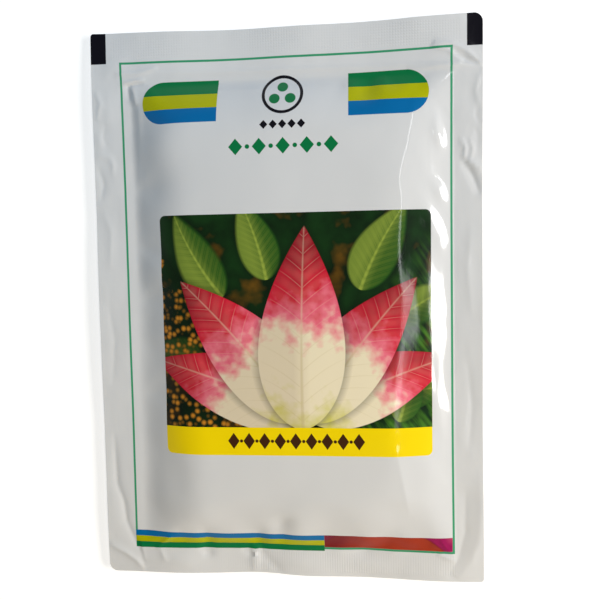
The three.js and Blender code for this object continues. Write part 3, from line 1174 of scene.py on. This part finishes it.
def frame_line(x, y):
    """Distance from the line of the frame."""
    return abs(bar(x, y, FRAME_LOW, FRAME_HIGH)) - FRAME_LINE / 2


def frame_and_band(colour, x, y):
    """The green frame round the front, and the striped band along its bottom."""
    colour = mixed(colour, LINE_GREEN, inked(frame_line(x, y)))
    stripes = three_stripes(y, BAND_TOP, BAND_STRIPE, (BLUE, YELLOW, GREEN))
    left = bar(x, y, (BAND_LEFT, BAND_TOP - 3 * BAND_STRIPE), (BAND_PARTING, BAND_TOP))
    colour = mixed(colour, stripes, inked(left))
    swirl = disc(x, y, *SWIRL)
    strip = mixed(MAGENTA, RUST, inked(swirl, 0.5))
    strip = mixed(strip, DARK_RUST, inked(disc(x, y, *DARK_SPOT), 8) * 0.8)
    strip = mixed(strip, DARK_RUST, inked(abs(swirl) - SWIRL_LINE / 2, 0.8) * 0.6)
    # Painted sheen: a soft patch of lighter pink at the top right end of the band.
    strip = mixed(strip, PINK, inked(disc(x, y, (BAND_RIGHT, BAND_TOP), 0.5), 5) * 0.5)
    right = bar(x, y, (BAND_PARTING, FRAME_LOW[1] + FRAME_LINE / 2), (BAND_RIGHT, BAND_TOP))
    return mixed(colour, strip, inked(right))


def emblem(colour, x, y):
    """A ring with three dots, where packets carry a sign."""
    x, y = x - EMBLEM[0], y - EMBLEM[1]
    ring = abs(disc(x, y, (0, 0), EMBLEM_RADIUS)) - EMBLEM_LINE / 2
    colour = mixed(colour, BLACK, inked(ring))
    dots = disc(x, y, UPPER_DOT, EMBLEM_DOT).least(disc(abs(x), y, SIDE_DOT, EMBLEM_DOT))
    return mixed(colour, GREEN, inked(dots))


def ornament(colour, x, y):
    """A short row of small dark diamonds, and a longer row of green ones with dots between them."""
    colour = mixed(colour, BLACK, inked(diamond_row(x, y, *BLACK_ROW)))
    return mixed(colour, GREEN, inked(diamond_row(x, y, *GREEN_ROW)))


def caption_strip(colour, x, y):
    """The yellow strip below the picture."""
    strip = bar(x, y, (PICTURE_LOW[0], CAPTION_BOTTOM), (PICTURE_HIGH[0], -30), PICTURE_CORNER)
    colour = mixed(colour, BRIGHT_YELLOW, inked(strip))
    return mixed(colour, BROWN, inked(diamond_row(x, y, *CAPTION_ROW)))


FRONT_MARKS = (flags, register_marks, frame_and_band, emblem, ornament, caption_strip)
print("there are", len(FRONT_MARKS), "kinds of marks")

# %% [markdown]
# The front is white film with all the marks and the picture. The back has the same frame, round an
# empty ruled panel.

# %% The prints of both panels


def front_print(x, y, vector):
    """All the ink of the front."""
    colour = FILM_WHITE
    for print_mark in FRONT_MARKS:
        colour = print_mark(colour, x, y)
    square_below = bar(x, y, PICTURE_LOW, (PICTURE_HIGH[0], 20))
    panel = bar(x, y, PICTURE_LOW, PICTURE_HIGH, PICTURE_CORNER).least(square_below)
    return mixed(colour, picture(x, y, vector), inked(panel))


def back_print(x, y, vector):
    """All the ink of the back."""
    colour = mixed(FILM_WHITE, LINE_GREEN, inked(frame_line(x, y)))
    panel = abs(bar(x, y, *BACK_PANEL, PICTURE_CORNER)) - BACK_PANEL_LINE / 2
    colour = mixed(colour, GREEN, inked(panel))
    rules = (y.math("PINGPONG", RULE_PITCH / 2) - RULE_LINE / 2).most(bar(x, y, *BACK_RULES))
    return mixed(colour, RULE_GREY, inked(rules))


print("the front is printed in", 1 + len(FRONT_MARKS), "passes")

# %% [markdown]
# ## The film's finish
#
# The film is printed on the inside of a clear layer, so every colour lies under the same gloss, which
# the shader has as a coat. Heat and pressure have dulled it in the welded bands, so the coat is thin
# there. The jaws of the sealing machine have left a fine net of squares in the top band and fine
# upright ribs in the bottom one. Those are shallower than a hair, so they are a bump in the shader. So
# are the faint unevenness of the film, without which it would look like glass, and the grain of the
# picture's thick ink, which breaks up the reflections there. Both panels are of one film, so all this
# is a second node group.

# %% The finish of the film
NET_PITCH = 0.95
NET_CORNERS = (-63, 90.4), (63, 98.6)
RIB_PITCH = 0.89
RIB_CORNERS = (-50, -98.6), (60, -91)
COAT_IN_BANDS = 0.15
COAT_ON_POCKET = 0.9
COAT_CORNERS = (LEFT, BOTTOM), (RIGHT - 1.2, TOP + 2)
COAT_ROUND = 5
COAT_EDGE = 2
SMOOTHEST = 0.34
ROUGHER = 0.14
FINISH_INPUTS = ("X", "Y", "Place", "Seal Relief", "Film Relief", "Ink Relief")
FINISH_OUTPUTS = ("Roughness", "Coat Weight", "Relief")


def grooves(distance, pitch):
    """Rounded ridges a pitch apart, 0 in the grooves and 1 on the ridges."""
    return abs((distance * (math.pi / pitch)).math("SINE"))


def seal_marks(x, y, vector):
    """The net of squares in the top band and the ribs in the bottom one, as a height from 0 to 1."""
    patchy = noise(x.tree, vector, 0.05, 2).times_plus(2.4, -0.5).held()
    net = grooves(x, NET_PITCH).least(grooves(y, NET_PITCH)) * inked(bar(x, y, *NET_CORNERS), 0.8)
    ribs = grooves(x, RIB_PITCH) * inked(bar(x, y, *RIB_CORNERS), 0.8)
    ribs = ribs * (x / 6 + 3.4).held().times_plus(0.75, 0.25)
    return (net + ribs) * patchy


def finish_group():
    """A node group that gives how rough the film is, its coat, and its relief in millimetres."""
    tree, given = new_group("film_finish", FINISH_INPUTS, FINISH_OUTPUTS)
    x, y, place, seal_relief, film_relief, ink_relief = given
    vector = place.socket
    roughness = noise(tree, vector, 0.08, 3).times_plus(ROUGHER, SMOOTHEST)
    pocket = inked(bar(x, y, *COAT_CORNERS, COAT_ROUND), COAT_EDGE)
    coat = pocket.times_plus(COAT_ON_POCKET - COAT_IN_BANDS, COAT_IN_BANDS)
    unevenness = noise(tree, vector, 0.45, 2) * film_relief
    thick_ink = inked(bar(x, y, PICTURE_LOW, PICTURE_HIGH, PICTURE_CORNER), 1)
    grain = noise(tree, vector, 2.4, 1) * thick_ink * ink_relief
    relief = seal_marks(x, y, vector).times_plus(seal_relief, unevenness) + grain
    put_out(tree, roughness, coat, relief)
    return tree


FILM_FINISH = finish_group()

# %% [markdown]
# Every pattern reads Object coordinates, which are places on the packet itself, so it stays where it
# is when the packet or the camera moves. The print was laid down while the film was flat, and the
# filling has drawn its edges in since, so the print is shifted back by as much.

# %% Places on the packet


def packet_coordinates(tree):
    """The place on the packet in millimetres: across, up, and both as a vector."""
    place = tree.nodes.new("ShaderNodeTexCoord")
    scale = tree.nodes.new("ShaderNodeVectorMath")
    scale.operation = "SCALE"
    scale.inputs["Scale"].default_value = 1 / MM
    tree.links.new(place.outputs["Object"], scale.inputs[0])
    split = tree.nodes.new("ShaderNodeSeparateXYZ")
    tree.links.new(scale.outputs[0], split.inputs[0])
    return Field(tree, split.outputs[0]), Field(tree, split.outputs[1]), scale.outputs[0]


def unstretched(x, y):
    """Where a point of the film was while it was printed flat, before the pouch was filled."""
    up_middle = (y * y).times_plus(-4 / HEIGHT**2, 1)
    across_middle = (x * x).times_plus(-4 / WIDTH**2, 1)
    flat_x = x * up_middle.times_plus(2 * DRAWN_IN_RIGHT / WIDTH, 1)
    flat_y = y * across_middle.times_plus(2 * DRAWN_IN_TOP / HEIGHT, 1)
    return flat_x, flat_y


print("the edges of the print are drawn in by up to", DRAWN_IN_TOP, "mm")

# %% [markdown]
# Each film's material has its own print as the colour under the coat. The seeds are dull, and each has
# its own brown: a Voronoi texture gives every cell the size of a seed a value of its own, and a colour
# ramp turns that into a brown.

# %% Materials
SEAL_RELIEF = 0.055
FILM_RELIEF = 0.012
INK_RELIEF = 0.02
SEED_COAT_RELIEF = 0.03
SEED_BROWNS = ((0, ink(58, 28, 18)), (0.5, ink(104, 58, 36)), (1, ink(146, 92, 58)))


def add_relief(tree, shader, height, *slots):
    """Makes a shader look as if its surface had this height, in millimetres."""
    bump = tree.nodes.new("ShaderNodeBump")
    set_inputs(bump, {"Distance": MM, "Strength": 1})
    feed(tree, bump.inputs["Height"], height)
    for slot in slots:
        tree.links.new(bump.outputs[0], shader.inputs[slot])


def film_material(name, printed):
    """Glossy laminate over the given print."""
    material, tree, shader = new_material(name)
    set_inputs(shader, {"Specular IOR Level": 0.05, "Coat Roughness": 0.08})
    x, y, vector = packet_coordinates(tree)
    feed(tree, shader.inputs["Base Color"], printed(*unstretched(x, y), vector))
    reliefs = (SEAL_RELIEF, FILM_RELIEF, INK_RELIEF)
    finish = place_group(tree, FILM_FINISH, x, y, Field(tree, vector), *reliefs)
    feed(tree, shader.inputs["Roughness"], finish["Roughness"])
    feed(tree, shader.inputs["Coat Weight"], finish["Coat Weight"])
    add_relief(tree, shader, finish["Relief"], "Normal", "Coat Normal")
    print(name, "has", len(tree.nodes), "nodes")
    return material


def seed_material():
    """Dry round seeds, each its own shade of brown."""
    material, tree, shader = new_material("seed_coats")
    set_inputs(shader, {"Roughness": 0.7})
    _, _, vector = packet_coordinates(tree)
    shade = texture(tree, "ShaderNodeTexVoronoi", vector, "Color", Scale=0.6)
    feed(tree, shader.inputs["Base Color"], ramp(shade, *SEED_BROWNS))
    add_relief(tree, shader, noise(tree, vector, 6.0, 2) * SEED_COAT_RELIEF, "Normal")
    return material


front_film.data.materials.append(film_material("printed_front_laminate", front_print))
back_film.data.materials.append(film_material("printed_back_laminate", back_print))
seeds.data.materials.append(seed_material())

# %% [markdown]
# ## Putting the pieces on the packet's body
#
# Each piece rides on the packet's one body and stands for the plain solid that it replaces.

# %% Ride and replace
for piece, node, slot in (
    (front_film, "front_film", "front_film"),
    (back_film, "back_film", "back_film"),
    (seeds, "seed_bed", "seeds"),
):
    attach(piece, "root")
    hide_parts(node)
